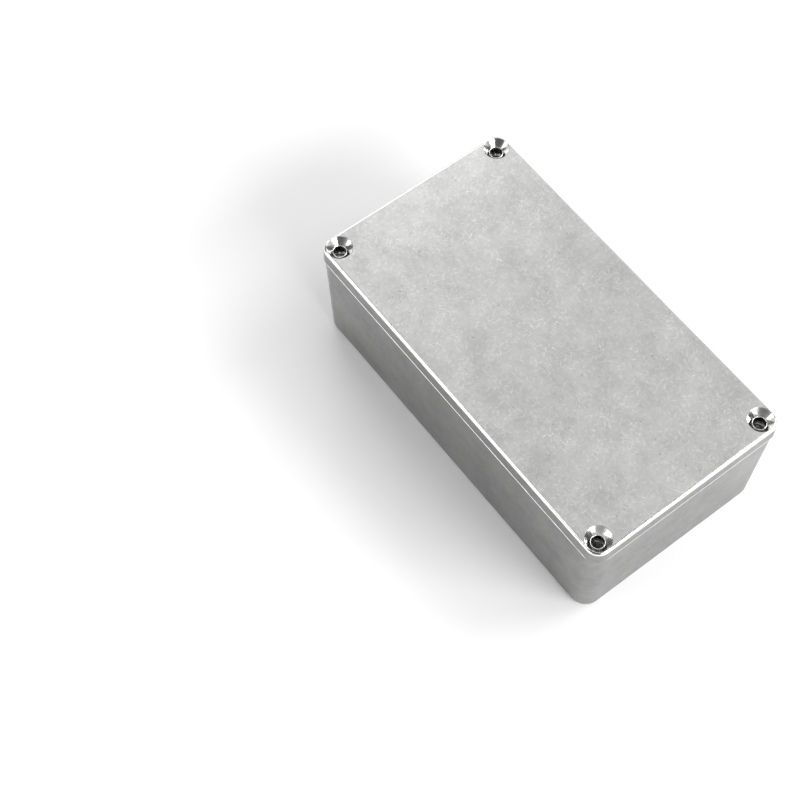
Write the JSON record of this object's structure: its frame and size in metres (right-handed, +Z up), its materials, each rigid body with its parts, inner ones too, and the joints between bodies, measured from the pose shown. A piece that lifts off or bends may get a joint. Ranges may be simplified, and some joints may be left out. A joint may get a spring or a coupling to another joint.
{
  "type": "die cast enclosure",
  "caption": "Rectangular die cast aluminium box with drafted walls, rounded corners and a shallow lid with a countersunk screw hole at each corner.",
  "frame": {"origin": "centre of the base's underside, on the surface that the box stands on", "axes": "+X along the length, +Y across the width, +Z up through the lid"},
  "size_m": [0.1214, 0.066, 0.04],
  "materials": {
    "cast_aluminium": "tumbled die casting, unpainted, satin"
  },
  "bodies": {
    "root": {"base": "cast_aluminium", "lid": "cast_aluminium"}
  },
  "joints": []
}
